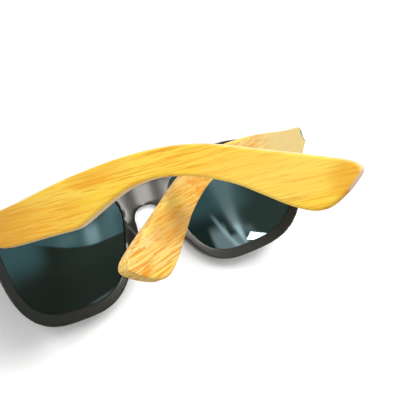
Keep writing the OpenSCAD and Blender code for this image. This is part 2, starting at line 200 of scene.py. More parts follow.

# The table: an oval of painted shade round each lens, one spot of painted shadow beside the left one, and its
# far part in metres
SHADE_OVAL, SHADE_OVAL_FADE = (31.0, 30.0), (0.97, 1.26)
SHADOW_SPOT_PLACE, SHADOW_SPOT_FADE, SHADOW_SPOT_SHARE = (-70.0, -20.0), (9.0, 25.0), 0.9
FAR_FADE_METRES, FAR_GLOW = (0.15, 0.6), 1.6
TABLE_HALF_METRES = 3.0
TABLE_GRAIN, TABLE_ROUGH, TABLE_SHINE = 350.0, 0.6, 0.2

# The ceiling that shiny faces mirror, by the X and Y of a direction. Pairs for ramps hold both ends, pairs
# for humps hold the middle and the width. First the side that the right lens mirrors
CEILING_START, CEILING_UP, CEILING_BEND, CEILING_SOFT = 0.6, 0.088, 1.2, 0.009
OUTER_START, OUTER_FALL = (0.88, 0.96), (0.0, 0.19)
LOW_FADE, LOW_UNTIL = (-0.17, -0.11), (0.5, 0.6)
CEILING_PATCHES = [
    dict(across=(0.8, 0.05), up=(-0.02, 0.05), strength=0.5),
    dict(across=(0.645, 0.05), up=(0.01, 0.09), strength=2.3),
    dict(across=(0.45, 0.08), up=(-0.2, 0.1), strength=0.6),
    dict(across=(0.5, 0.06), up=(0.02, 0.15), strength=0.5),
]
LINE_UP, LINE_START, LINE_END, LINE_STRENGTH = (0.487, 0.009), (0.46, 0.56), (0.7, 0.8), 0.9
RIGHT_DIM, RIGHT_BRIGHT = 0.02, 0.84
DUSK_STRENGTH, DUSK_UP, DUSK_UP_LOSS = 1.1, (0.1, 0.4), 0.35
DUSK_OUT, DUSK_OUT_LOSS = (0.7, 0.92), 0.45
# Then the side that the left lens mirrors
BEAM_MIDDLE, BEAM_WIDTH, BEAM_TOP, BEAM_WIDEN = -0.325, 0.014, 0.5, 0.13
BEAM_RISE, BEAM_GAIN = (0.1, 0.35), 1.3
BEAM_CORE, CORE_STRENGTH = (0.44, 0.06), 3.0
THIN_MIDDLE, THIN_SLANT, THIN_UP, THIN_WIDTH = -0.17, 0.27, 0.27, 0.017
THIN_START, THIN_STRENGTH = (0.16, 0.3), 2.1
WEDGE_START, WEDGE_END, WEDGE_UP = (-0.25, -0.22), (-0.1, -0.05), (0.28, 0.44)
WEDGE_TOP_START, WEDGE_TOP_UP, WEDGE_STRENGTH = (-0.34, -0.31), (0.44, 0.5), 2.0
SIDE_GLOW_X, SIDE_GLOW_Y, SIDE_GLOW_STRENGTH = (-0.385, 0.03), (0.47, 0.05), 0.9
PALE_END = (0.56, 0.68)
LEFT_DIM, LEFT_BRIGHT, LEFT_FALL, LEFT_START = 0.12, 0.54, (0.1, 0.3), (-0.6, -0.4)
LEFT_DUSK, LEFT_DUSK_LOSS = (-0.45, -0.3), 0.75
# Last where both sides meet and the light for the bridge between them
SIDE_CHANGE = (0.1, 0.3)
LIFT_FADE, LIFT_HEIGHT = (0.05, 0.15), 0.2

GREY_NODES = ("hinge_leaf", "carriage", "spring_box")
BRIGHT_NODES = ("leaf_rivets", "hinge_screw", "spring_nut", "box_screws")
GREY_ROUGH, BRIGHT_ROUGH = 0.4, 0.22
BRUSH_GRAIN, BRUSH_ROUGH = (400.0, 4000.0, 400.0), 0.15
WORN_GRAIN, WORN_RANGE, WORN_SHARE, WORN_LEVEL = 500.0, (0.4, 0.7), 0.5, 0.7

# The lamps, in metres: where each hangs, how its first side lies and whether shiny faces mirror it
LAMPS = {
    "key": dict(direction=(0.3, 0.41, 0.86), along=(1, 0, 0), distance=0.8, size=(0.32, 0.32), shows=False),
    "fill": dict(
        direction=(-0.11, 0.06, 0.23), along=(0, 1, 0), distance=0.262, size=(0.06, 0.06), shows=False),
    "spot": dict(
        direction=(-0.397, 0.556, 0.731), along=(-0.623, 0.415, -0.663), distance=1.2, size=(0.268, 0.09),
        shows=True),
}
# The camera's own settings and its turn in degrees
CAMERA = dict(
    sensor_width=36.0, lens=44.4265, shift_x=-0.058575, shift_y=-0.156079, clip_start=0.01, clip_end=20.0)
CAMERA_PLACE, CAMERA_TURN = (-69.144, 2.053, 247.98), (13.8821, -23.9754, -20.483)


def link(thing):
    """Puts an object in the scene."""
    bpy.context.scene.collection.objects.link(thing)
    return thing


def add_mesh(name, mesh):
    return link(bpy.data.objects.new(name, mesh))


class Wire:
    """One output socket. Arithmetic on it adds Math nodes to its tree."""

    def __init__(self, maker, socket):
        self.maker = maker
        self.socket = socket

    def by_math(self, operation, *values, clamp=False):
        inputs = dict(enumerate(values))
        return self.maker.wire("ShaderNodeMath", {"operation": operation, "use_clamp": clamp}, inputs)

    def __add__(self, other):
        return self.by_math("ADD", self, other)

    def __radd__(self, other):
        return self.by_math("ADD", other, self)

    def __sub__(self, other):
        return self.by_math("SUBTRACT", self, other)

    def __rsub__(self, other):
        return self.by_math("SUBTRACT", other, self)

    def __mul__(self, other):
        return self.by_math("MULTIPLY", self, other)

    def __rmul__(self, other):
        return self.by_math("MULTIPLY", other, self)

    def __truediv__(self, other):
        return self.by_math("DIVIDE", self, other)

    def __rtruediv__(self, other):
        return self.by_math("DIVIDE", other, self)

    def __pow__(self, other):
        return self.by_math("POWER", self, other)

    def __abs__(self):
        return self.by_math("ABSOLUTE", self)

    def cosine(self):
        return self.by_math("COSINE", self)

    def sine(self):
        return self.by_math("SINE", self)

    def root(self):
        return self.by_math("SQRT", self)

    def sign(self):
        return self.by_math("SIGN", self)

    def lower(self, other):
        return self.by_math("MINIMUM", self, other)

    def higher(self, other):
        return self.by_math("MAXIMUM", self, other)

    def clamped(self):
        return self.by_math("ADD", self, 0.0, clamp=True)

    def ramp(self, low, high):
        """0 below low, 1 above high and smooth between."""
        inputs = {"Value": self, "From Min": low, "From Max": high}
        return self.maker.wire("ShaderNodeMapRange", {"interpolation_type": "SMOOTHSTEP"}, inputs)

    def fall(self, low, high):
        """1 below low, 0 above high and smooth between."""
        return 1.0 - self.ramp(low, high)

    def hump(self, middle, width):
        """A soft hump of height 1 about a middle value."""
        distance = (self - middle) / width
        square = distance * distance
        return 1.0 / (1.0 + square * square)


class Maker:
    """Adds nodes to one tree: a material's, the world's or a geometry tree."""

    def __init__(self, tree):
        self.tree = tree

    def node(self, kind, settings=None, inputs=None):
        made = self.tree.nodes.new(kind)
        for key, value in (settings or {}).items():
            setattr(made, key, value)
        for key, value in (inputs or {}).items():
            if isinstance(value, Wire):
                self.tree.links.new(value.socket, made.inputs[key])
            else:
                made.inputs[key].default_value = value
        return made

    def wire(self, kind, settings=None, inputs=None, output=0):
        return Wire(self, self.node(kind, settings, inputs).outputs[output])

    def mix(self, share, first, second, blend="MIX"):
        settings = {"data_type": "RGBA", "blend_type": blend, "clamp_factor": True}
        return self.wire("ShaderNodeMix", settings, {0: share, 6: first, 7: second}, 2)

    def noise(self, place, scale, detail=2.0, rough=0.5, twist=0.0):
        """Noise with one scale, or with one for each direction."""
        if isinstance(scale, tuple):
            place = self.wire("ShaderNodeVectorMath", {"operation": "MULTIPLY"}, {0: place, 1: scale})
            scale = 1.0
        inputs = {"Vector": place, "Scale": scale, "Detail": detail, "Roughness": rough, "Distortion": twist}
        return self.wire("ShaderNodeTexNoise", None, inputs)

    def bump(self, height, strength, distance):
        inputs = {"Strength": strength, "Distance": distance, "Height": height}
        return self.wire("ShaderNodeBump", None, inputs)

    def parts(self, place):
        made = self.node("ShaderNodeSeparateXYZ", None, {0: place})
        return [Wire(self, output) for output in made.outputs]


def colour(rgb, level=1.0):
    """Four numbers for a colour socket, from three."""
    return (rgb[0] * level, rgb[1] * level, rgb[2] * level, 1.0)


def from_screen(red, green, blue):
    """A linear colour from screen values of 0 to 255."""
    def straight(value):
        value = value / 255.0
        return value / 12.92 if value <= 0.04045 else ((value + 0.055) / 1.055) ** 2.4
    return (straight(red), straight(green), straight(blue))


def new_material(name):
    material = bpy.data.materials.new(name)
    material.use_nodes = True
    material.node_tree.nodes.clear()
    return material, Maker(material.node_tree)


def finish_surface(maker, inputs):
    surface = maker.wire("ShaderNodeBsdfPrincipled", None, inputs)
    maker.node("ShaderNodeOutputMaterial", None, {"Surface": surface})


def object_place(maker):
    return maker.wire("ShaderNodeTexCoord", None, None, "Object")


def mirrored(side):
    return Matrix.Diagonal((-1.0 if side == RIGHT else 1.0, 1.0, 1.0, 1.0))


def on_temple(side):
    """The place of a temple's own frame, in metres."""
    place = Matrix.Translation(Vector((-HINGE_PLACE.x, HINGE_PLACE.y, HINGE_PLACE.z)) * MM)
    lean = Matrix.Rotation(math.radians(-HINGE_LEAN), 4, "Z")
    fold = Matrix.Rotation(math.radians(-FOLD[side]), 4, "Y")
    return mirrored(side) @ place @ lean @ fold


def temple_place(maker, side):
    """A temple's own coordinates, from Object coordinates."""
    mirror = mirrored(side)
    straight = on_temple(side).inverted() @ mirror
    inputs = {
        "Vector": object_place(maker),
        "Location": straight.to_translation(),
        "Rotation": straight.to_euler("XYZ"),
        "Scale": (mirror[0][0], 1.0, 1.0),
    }
    return maker.wire("ShaderNodeMapping", {"vector_type": "POINT"}, inputs)


def metres(pair):
    """Both numbers of a pair in metres, from millimetres."""
    return [value * MM for value in pair]


def oval(x, y, middle, size):
    """The square of the distance from a middle, where the edge of the oval counts as 1."""
    across = (x - middle[0] * MM) / (size[0] * MM)
    up = (y - middle[1] * MM) / (size[1] * MM)
    return across * across + up * up


# Materials

def make_plastic(colours):
    material, maker = new_material("front plastic")
    place = object_place(maker)
    cloud = maker.noise(place, CLOUD_GRAIN, detail=3.0)
    fine = maker.noise(place, FINE_GRAIN)
    dark, less_dark = colour(colours.plastic), colour(colours.plastic, CLOUD_LEVEL)
    finish_surface(maker, {
        "Base Color": maker.mix(cloud.ramp(*CLOUD_RANGE), dark, less_dark),
        "Roughness": PLASTIC_ROUGH + CLOUD_ROUGH * cloud + FINE_ROUGH * fine,
        "Normal": maker.bump(fine, strength=0.08, distance=0.2 * MM),
        "IOR": PLASTIC_IOR,
    })
    return material


def make_lens_glass(colours):
    """Coated lens. Its height field swells the bent sheet as a lens ground to a rounder curve."""
    material, maker = new_material("tinted lens")
    place = object_place(maker)
    x, y, z = maker.parts(place)
    depth = BEND_CENTRE * MM - z
    radius = (x * x + depth * depth).root()
    back_start, back_end = LENS_BACK
    back = 1.0 - 2.0 * radius.ramp((LENS_R + back_start) * MM, (LENS_R + back_end) * MM)
    from_apex = y - LENS_APEX * MM
    swell = back * from_apex * from_apex * (0.5 / (LENS_ROUND * MM))
    smear = maker.noise(place, SMEAR_GRAIN, detail=4.0, rough=0.6, twist=0.6)
    finish_surface(maker, {
        "Base Color": colour(colours.lens),
        "Roughness": LENS_ROUGH + SMEAR_ROUGH * smear.ramp(*SMEAR_RANGE),
        "IOR": LENS_IOR,
        "Alpha": LENS_ALPHA,
        "Specular Tint": colour(colours.lens_sheen),
        "Normal": maker.bump(swell, strength=1.0, distance=1.0),
    })
    return material


class Wood:
    """The colour of one temple's bamboo, laid on in layers."""

    def __init__(self, maker, side, colours):
        self.maker = maker
        self.colours = colours
        self.place = temple_place(maker, side)
        self.along, self.up, self.out = maker.parts(self.place)
        self.tint = colour(getattr(colours, GROUND[side][0]))

    def lay(self, where, tone, share=1.0, level=1.0):
        """Lays a colour over the tint. The tone is a colour's name or a wire."""
        if isinstance(tone, str):
            tone = colour(getattr(self.colours, tone), level)
        self.tint = self.maker.mix(where * share, self.tint, tone)

    def oval(self, middle, size):
        """1 in the middle of a soft oval and 0 outside it."""
        return oval(self.along, self.up, middle, size).fall(*OVAL_FADE)

    def mark(self, middle, size, tone, share, level=1.0):
        self.lay(self.oval(middle, size), tone, share, level)


def make_bamboo(colours, side):
    """Bamboo with long streaks and short dashes. Each temple has its own marks."""
    material, maker = new_material("bamboo " + SIDES[side])
    wood = Wood(maker, side, colours)
    broad = maker.noise(wood.place, BROAD_GRAIN, detail=3.0, rough=0.55)
    band = maker.noise(wood.place, BAND_GRAIN, detail=3.0, rough=0.6)
    streak = maker.noise(wood.place, STREAK_GRAIN, detail=3.0, rough=0.65)
    dash = maker.noise(wood.place, DASH_GRAIN[side], detail=1.5)
    wood.lay(broad.ramp(*BROAD_RANGE), GROUND[side][1])
    wood.lay(band.ramp(*BAND_RANGE), "bamboo_streak", BAND_SHARE)
    wood.lay(streak.ramp(*STREAK_RANGE), "bamboo_streak", STREAK_SHARE)
    wood.lay(streak.fall(*BETWEEN_RANGE), "bamboo_pale", BETWEEN_SHARE)
    wood.lay(dash.ramp(*DASH_RANGE[side]), "bamboo_dash", DASH_SHARE[side])
    if side == LEFT:
        wood.lay(wood.along.fall(*metres(LEFT_END)), "bamboo_brown", LEFT_END_SHARE)
    else:
        lay_right_end(wood)
    for mark in MARKS[side]:
        wood.mark(**mark)
    if side == LEFT:
        lay_edges_and_painted_light(wood)
    else:
        lay_pores(wood)
    finish_surface(maker, {
        "Base Color": wood.tint,
        "Roughness": BAMBOO_ROUGH + STREAK_ROUGH * streak,
        "Normal": maker.bump(streak - dash * DASH_DEPTH, strength=0.3, distance=0.2 * MM),
        "IOR": BAMBOO_IOR,
    })
    return material


def lay_right_end(wood):
    """A greyer tone all over the right temple, its pale front end and the knot."""
    wood.tint = wood.maker.mix(1.0, wood.tint, colour(RIGHT_SHADE), blend="MULTIPLY")
    wood.lay(wood.along.fall(*metres(RIGHT_END)), "bamboo_light", RIGHT_END_SHARE, RIGHT_END_LEVEL)
    whirl = wood.maker.noise(wood.place, KNOT_GRAIN, detail=3.0, rough=0.7, twist=1.2)
    knot = wood.oval(KNOT_PLACE, KNOT_SIZE)
    wood.lay(knot * whirl.ramp(*KNOT_DARK), "bamboo_dash", KNOT_DARK_SHARE)
    wood.lay(knot * whirl.fall(*KNOT_LIGHT), "bamboo_light", KNOT_LIGHT_SHARE)


def lay_pores(wood):
    """Dark pores on the right temple's tip and a line of dots along its outer edge."""
    for middle in PORES:
        wood.mark(middle, PORE_SIZE, "bamboo_pore", PORE_SHARE)
    dots = wood.maker.noise(wood.place, DOT_GRAIN, detail=1.0).ramp(*DOT_RANGE)
    line = wood.out.hump(*metres(DOT_LINE)) * wood.along.ramp(*metres(DOT_START))
    wood.lay(line * dots, "bamboo_pore", DOT_SHARE)


def lay_edges_and_painted_light(wood):
    """The left temple's pale edges, partly the sanded wood and partly a painted highlight, painted shade in
    orange round the tip, and a painted highlight on its rounding along the top.
    """
    face = BOARD_INNER + BOARD_T
    # the edge faces are laid pale, partly the sanded wood's own tone and partly a painted highlight
    wall = wood.out.fall(*metres(face - depth for depth in WALL_OUTER)) * wood.out.ramp(*metres(WALL_INNER))
    from_crest = wood.along - CREST_ALONG * MM
    middle = CREST_UP * MM - CREST_BEND * from_crest * from_crest
    top = (wood.up - middle).ramp(*metres(TOP_FADE))
    pale, orange = colour(wood.colours.bamboo_edge), colour(wood.colours.bamboo_dash)
    # painted shade: near the tip, below the top edge, the edge faces are laid orange instead of pale
    tip_painted_shade = wood.along.ramp(*metres(TIP_SHADE_START)) * (1.0 - top)
    wood.lay(wall, wood.maker.mix(tip_painted_shade, pale, orange), EDGE_AND_HIGHLIGHT_SHARE)
    # painted highlight: the rounding along the top edge is laid pale where the light catches it
    rounding = wood.out.fall(*metres(face - depth for depth in HIGHLIGHT_ROUNDING))
    painted_highlight_along_top = top * wood.along.ramp(*metres(HIGHLIGHT_START))
    wood.lay(rounding * painted_highlight_along_top, "bamboo_edge", EDGE_AND_HIGHLIGHT_SHARE)


def make_table(stage):
    """A white table top. Away from the rims the camera sees it brighter, so that it ends in white. Round each
    lens and on a spot beside the left one this glow is held back, which leaves painted shade there.
    """
    material, maker = new_material("table top")
    place = object_place(maker)
    x, y = maker.parts(place)[:2]
    # The glow is held back in an oval round each lens and on a spot beside the left lens: painted shade and
    # painted shadow
    clear = oval(abs(x), y, LENS_MIDDLE, SHADE_OVAL).root().ramp(*SHADE_OVAL_FADE)
    spot = oval(x, y, SHADOW_SPOT_PLACE, (1, 1)).root().fall(*SHADOW_SPOT_FADE)
    far = (x * x + y * y).root().ramp(*FAR_FADE_METRES)
    away = clear * (1.0 - SHADOW_SPOT_SHARE * spot) + FAR_GLOW * far
    grain = maker.noise(place, TABLE_GRAIN, detail=3.0)
    table = maker.wire("ShaderNodeBsdfPrincipled", None, {
        "Base Color": colour(stage.floor),
        "Roughness": TABLE_ROUGH,
        "Specular IOR Level": TABLE_SHINE,
        "Normal": maker.bump(grain, strength=0.03, distance=0.2 * MM),
    })
    seen = maker.wire("ShaderNodeLightPath", None, None, "Is Camera Ray")
    glow = maker.wire("ShaderNodeEmission", None, {"Strength": seen * away * stage.floor_glow})
    both = maker.wire("ShaderNodeAddShader", None, {0: table, 1: glow})
    maker.node("ShaderNodeOutputMaterial", None, {"Surface": both})
    return material


def make_metal(name, tone, rough):
    material, maker = new_material(name)
    place = object_place(maker)
    brushed = maker.noise(place, BRUSH_GRAIN, detail=3.0)
    worn = maker.noise(place, WORN_GRAIN, detail=3.0).ramp(*WORN_RANGE) * WORN_SHARE
    finish_surface(maker, {
        "Base Color": maker.mix(worn, colour(tone), colour(tone, WORN_LEVEL)),
        "Roughness": rough + BRUSH_ROUGH * brushed,
        "Metallic": 1.0,
        "Normal": maker.bump(brushed, strength=0.1, distance=0.05 * MM),
    })
    return material


# Shapes

def smooth_edge(points):
    """A smooth run of points through a few chosen ones, worked out as in the model's source."""
    run = []
    last = len(points) - 1
    for i in range(last):
        a, b = Vector(points[max(i - 1, 0)]), Vector(points[i])
        c, d = Vector(points[i + 1]), Vector(points[min(i + 2, last)])
        for part in range(CURVE_PARTS):
            t = part / CURVE_PARTS
            bend = (2 * a - 5 * b + 4 * c - d) + t * (3 * b - a - 3 * c + d)
            run.append(b + 0.5 * t * ((c - a) + t * bend))
    run.append(Vector(points[last]))
    return run


def eased(outline, spacing, passes):
    """The closed outline with points at an even spacing and its corners eased."""
    lengths = [(outline[(i + 1) % len(outline)] - p).length for i, p in enumerate(outline)]
    count = round(sum(lengths) / spacing)
    spacing = sum(lengths) / count
    points = []
    gone = 0.0
    for i, length in enumerate(lengths):
        while len(points) * spacing < gone + length - TINY and len(points) < count:
            share = (len(points) * spacing - gone) / length
            points.append(outline[i].lerp(outline[(i + 1) % len(outline)], share))
        gone += length
    for unused in range(passes):
        points = [(points[i - 1] + 2 * p + points[(i + 1) % count]) / 4 for i, p in enumerate(points)]
    return points


def shrunk(outline, amount):
    """The outline moved inwards by an amount. Its points run against the clock."""
    count = len(outline)
    sharpest = 0.5
    moved = []
    for i in range(count):
        before = (outline[i] - outline[i - 1]).normalized()
        after = (outline[(i + 1) % count] - outline[i]).normalized()
        normal = Vector((-(before.y + after.y), before.x + after.x))
        normal.normalize()
        reach = amount / max(normal.dot(Vector((-after.y, after.x))), sharpest)
        moved.append(outline[i] + normal * reach)
    return moved


def board_mesh(name, outline, low, high, edge_round):
    """A flat board with rounded edges, in its temple's own frame."""
    turns = [0.5 * math.pi * part / ROUND_PARTS for part in range(ROUND_PARTS + 1)]
    bow = [(edge_round * (1 - math.cos(turn)), edge_round * (1 - math.sin(turn))) for turn in turns]
    cap_inset = edge_round + CAP_INSET
    rings = [(cap_inset, low)]
    rings += [(inset, low + rise) for inset, rise in reversed(bow)]
    rings += [(inset, high - rise) for inset, rise in bow]
    rings.append((cap_inset, high))
    made = bmesh.new()
    rows = []
    for inset, level in rings:
        rows.append([made.verts.new((p.x, p.y, level)) for p in shrunk(outline, inset)])
    count = len(outline)
    for lower, upper in zip(rows, rows[1:]):
        for i in range(count):
            j = (i + 1) % count
            made.faces.new((lower[i], lower[j], upper[j], upper[i]))
    caps = [made.faces.new(rows[-1]), made.faces.new(rows[0][::-1])]
    made.normal_update()
    bmesh.ops.triangulate(made, faces=caps)
    return finished_mesh(name, made)


def finished_mesh(name, made):
    mesh = bpy.data.meshes.new(name)
    made.to_mesh(mesh)
    made.free()
    return mesh


def box_mesh(name, low, high):
    made = bmesh.new()
    bmesh.ops.create_cube(made, size=1.0)
    middle = (Vector(low) + Vector(high)) / 2
    size = Vector(high) - Vector(low)
    for v in made.verts:
        v.co = Vector((v.co.x * size.x, v.co.y * size.y, v.co.z * size.z)) + middle
    return finished_mesh(name, made)


def settle(thing):
    """Turns a piece with modifiers into a plain mesh."""
    bpy.context.view_layer.update()
    evaluated = thing.evaluated_get(bpy.context.evaluated_depsgraph_get())
    mesh = bpy.data.meshes.new_from_object(evaluated)
    thing.modifiers.clear()
    thing.data = mesh
    return thing


def cut(thing, cutter_mesh):
    """Takes a solid away from a piece."""
    cutter = add_mesh("cutter", cutter_mesh)
    change = thing.modifiers.new("cut", "BOOLEAN")
    change.operation = "DIFFERENCE"
    change.solver = "EXACT"
    change.object = cutter
    settle(thing)
    bpy.data.objects.remove(cutter)


def soften(thing, times, group=""):
    """Evens out a piece, or only the part of it that a vertex group names."""
    change = thing.modifiers.new("soften", "SMOOTH")
    change.factor = SMOOTH_FACTOR
    change.iterations = times
    change.vertex_group = group
    settle(thing)


def place_mesh(mesh, matrix):
    """Moves a mesh from a piece's own frame in millimetres to the model's frame in metres."""
    mesh.transform(matrix @ Matrix.Diagonal((MM, MM, MM, 1.0)))
    if matrix.determinant() < 0:
        mesh.flip_normals()


def smooth(mesh, crease=PLAIN_CREASE):
    mesh.shade_smooth()
    mesh.set_sharp_from_angle(angle=math.radians(crease))


def dress(thing, material):
    thing.data.materials.clear()
    thing.data.materials.append(material)


def point_faces_out(mesh):
    made = bmesh.new()
    made.from_mesh(mesh)
    bmesh.ops.recalc_face_normals(made, faces=made.faces)
    made.to_mesh(mesh)
    made.free()


def new_tree(name, numbers):
    """A geometry tree with one named number for each size, and a maker for it."""
    tree = bpy.data.node_groups.new(name, "GeometryNodeTree")
    tree.interface.new_socket(name="Geometry", in_out="OUTPUT", socket_type="NodeSocketGeometry")
    for label, value in numbers.items():
        socket = tree.interface.new_socket(name=label, in_out="INPUT", socket_type="NodeSocketFloat")
        socket.default_value = value
    maker = Maker(tree)
    group = maker.node("NodeGroupInput")
    return tree, maker, {label: Wire(maker, group.outputs[label]) for label in numbers}


def finish_tree(maker, geometry, material):
    real = maker.wire("GeometryNodeRealizeInstances", None, {"Geometry": geometry})
    coloured = maker.wire("GeometryNodeSetMaterial", None, {"Geometry": real, "Material": material})
    maker.node("NodeGroupOutput", None, {"Geometry": coloured})


def grow(name, tree, numbers):
    """A plain mesh object from a geometry tree."""
    holder = add_mesh(name, bpy.data.meshes.new(name))
    change = holder.modifiers.new("grow", "NODES")
    change.node_group = tree
    for item in tree.interface.items_tree:
        if item.item_type == "SOCKET" and item.in_out == "INPUT":
            change[item.identifier] = numbers[item.name]
    settle(holder)
    point_faces_out(holder.data)
    smooth(holder.data)
    return holder


def lens_numbers(side, dome):
    """The named sizes of a lens, in metres and radians."""
    return {
        "Half width": (LENS_HALF[0] + LENS_GRIP) * MM,
        "Half height": (LENS_HALF[1] + LENS_GRIP) * MM,
        "Plain width": LENS_HALF[0] * MM,
        "Plain height": LENS_HALF[1] * MM,
        "Square": LENS_SQUARE,
        "Flare": LENS_FLARE,
        "Turn": math.radians(LENS_TURN),
        "Droop": LENS_DROOP * MM,
        "Rise": RIM_LOW_MORE * (1 - LENS_GRIP / RIM_W) * MM,
        "Middle X": LENS_MIDDLE[0] * MM,
        "Middle Y": LENS_MIDDLE[1] * MM,
        "Side": float(side),
        "Back radius": LENS_R * MM,
        "Thickness": LENS_THICK * MM,
        "Bend centre": BEND_CENTRE * MM,
        "Dome": dome,
    }


def lens_tree(material, numbers):
    """A closed lens: its faces run from the middle of the front over the edge to the middle of the back."""
    tree, maker, size = new_tree("lens from a rule", numbers)
    grid = maker.node("GeometryNodeMeshGrid", None, {
        "Size X": 1.0, "Size Y": 1.0, "Vertices X": LENS_AROUND, "Vertices Y": LENS_ACROSS,
    })
    x, y = maker.parts(maker.wire("GeometryNodeInputPosition"))[:2]
    angle = (x + 0.5) * (2 * math.pi)
    share = y + 0.5
    # ring runs from 0 in the middle to 1 at the edge, layer from 0 on the front to 1 on the back
    ring = (share.lower(1.0 - share) / (0.5 - LENS_WALL)).lower(1.0)
    layer = ((share - (0.5 - LENS_WALL)) / (2 * LENS_WALL)).clamped()
    c, s = angle.cosine(), angle.sine()
    power = 2.0 / size["Square"]
    u = ring * size["Half width"] * c.sign() * (abs(c) ** power)
    tall = size["Half height"] - size["Rise"] * (0.5 - 0.5 * s.sign())
    v = ring * tall * s.sign() * (abs(s) ** power)
    w = u * (1.0 + size["Flare"] * v / size["Plain height"])
    outward = (w / size["Plain width"]).higher(0.0) ** DROOP_OUT
    h = v - size["Droop"] * outward * (v / size["Plain height"]).higher(0.0) ** DROOP_UP
    turn_c, turn_s = size["Turn"].cosine(), size["Turn"].sine()
    px = size["Middle X"] + w * turn_c - h * turn_s
    py = size["Middle Y"] + w * turn_s + h * turn_c
    radius = size["Back radius"] + size["Thickness"] * (1.0 - layer)
    pz = size["Bend centre"] - (radius * radius - px * px).root() - size["Dome"] * (1.0 - ring * ring)
    place = maker.wire("ShaderNodeCombineXYZ", None, {0: px * size["Side"], 1: py, 2: pz})
    moved = maker.wire("GeometryNodeSetPosition", None, {
        "Geometry": Wire(maker, grid.outputs["Mesh"]), "Position": place,
    })
    merged = maker.wire("GeometryNodeMergeByDistance", None, {"Geometry": moved, "Distance": TINY})
    finish_tree(maker, merged, material)
    return tree


def spring_tree(material, numbers):
    """A coil spring along Z, in millimetres."""
    tree, maker, size = new_tree("coil spring", numbers)
    coil = maker.wire("GeometryNodeCurveSpiral", None, {
        "Resolution": COIL_SIDES, "Rotations": size["Turns"], "Start Radius": size["Radius"],
        "End Radius": size["Radius"], "Height": size["Height"],
    })
    ring = maker.wire("GeometryNodeCurvePrimitiveCircle", None, {
        "Resolution": WIRE_SIDES, "Radius": size["Wire radius"],
    })
    tube = maker.wire("GeometryNodeCurveToMesh", None, {
        "Curve": coil, "Profile Curve": ring, "Fill Caps": True,
    })
    finish_tree(maker, tube, material)
    return tree


def ease(value, low, high):
    """0 below low, 1 above high and smooth between."""
    share = min(max((value - low) / (high - low), 0.0), 1.0)
    return share * share * (3.0 - 2.0 * share)


def shape_bridge(front, sizes):
    """Lowers the middle of the bridge's back and melts the nose pads into the rims."""
    weights = front.vertex_groups.new(name="soft")
    groups = {}
    middle = Vector(LENS_MIDDLE) * MM
    fade_start, fade_end = (BRIDGE_END - before for before in BRIDGE_FADE)
    for v in front.data.vertices:
        across, up = abs(v.co.x) / MM, v.co.y / MM
        towards = (middle - Vector((abs(v.co.x), v.co.y))).normalized()
        to_lens = v.normal.x * math.copysign(towards.x, v.co.x) + v.normal.y * towards.y
        lens_wall = to_lens > SLOPE_TO_LENS and v.normal.z < SLOPE_TOP
        if across > BRIDGE_END or v.normal.z < SLOPE_DOWN or lens_wall:
            continue
        if v.normal.z > SLOPE_BACK:
            v.co.z -= sizes.bridge_dip * (1.0 - ease(across, BRIDGE_FLAT, BRIDGE_RISE)) * ease(up, *BRIDGE_UP)
        share = (1.0 - ease(across, fade_start, fade_end)) * ease(up, *PAD_UP)
        groups.setdefault(round(share, 1), []).append(v.index)
    for share, members in groups.items():
        weights.add(members, share, "REPLACE")
    soften(front, sizes.bridge_melt, weights.name)


# Sizes and colours that a user may change

def length_property(name, words, value, low, high):
    return bpy.props.FloatProperty(
        name=name, description=words, default=value, min=low, max=high, precision=5, subtype="DISTANCE",
        unit="LENGTH")


def level_property(name, words, value, high):
    return bpy.props.FloatProperty(name=name, description=words, default=value, min=0.0, max=high)


def colour_property(name, words, value):
    return bpy.props.FloatVectorProperty(
        name=name, description=words, default=value, size=3, min=0.0, max=1.0, subtype="COLOR")


class SunglassesSizes(bpy.types.PropertyGroup):
    front_voxel: length_property(
        "Front detail", "Size of the small cells that round the front's edges", 0.0004, 0.0003, 0.001)
    front_softness: bpy.props.IntProperty(
        name="Front softness", description="How often the front's edges are smoothed",
        default=7, min=0, max=30)
    bridge_dip: length_property(
        "Bridge dip", "How far the middle of the bridge lies below the rims", 0.0005, 0.0, 0.0012)
    bridge_melt: bpy.props.IntProperty(
        name="Bridge melt", description="How often the back of the bridge is smoothed",
        default=90, min=0, max=200)
    board_round: length_property(
        "Temple edge", "Radius of the temples' eased edges", 0.0009, 0.0002, 0.0018)
    lens_dome: length_property(
        "Lens dome", "How far a lens swells beyond the front's bend", 0.0006, 0.0, 0.0012)


class SunglassesColours(bpy.types.PropertyGroup):
    plastic: colour_property("Plastic", "Colour of the moulded front", from_screen(33, 29, 24))
    lens: colour_property("Lens", "Colour in the lenses", from_screen(10, 14, 10))
    lens_sheen: colour_property("Lens sheen", "Colour of the light that the lenses mirror", (0.6, 0.9, 1.0))
    bamboo: colour_property("Bamboo", "Main colour of the bamboo", from_screen(253, 204, 48))
    bamboo_pale: colour_property("Pale bamboo", "Colour of the pale bands", from_screen(254, 217, 86))
    bamboo_light: colour_property("Light bamboo", "Colour of the palest parts", from_screen(240, 212, 138))
    bamboo_streak: colour_property("Bamboo streak", "Colour of the long streaks", from_screen(243, 166, 24))
    bamboo_dash: colour_property("Bamboo dash", "Colour of the short dashes", from_screen(230, 146, 24))
    bamboo_brown: colour_property("Bamboo brown", "Colour of the brown zones", from_screen(214, 146, 40))
    bamboo_pore: colour_property("Bamboo pore", "Colour of the small dark pores", from_screen(150, 98, 40))
    # this colour also makes the painted highlight along the left temple's top edge
    bamboo_edge: colour_property("Bamboo edge", "Colour of the sanded edges", from_screen(244, 212, 174))
    metal: colour_property("Hinge metal", "Colour of the hinges", from_screen(186, 192, 202))
    screw: colour_property("Screw metal", "Colour of the screws", from_screen(185, 187, 190))


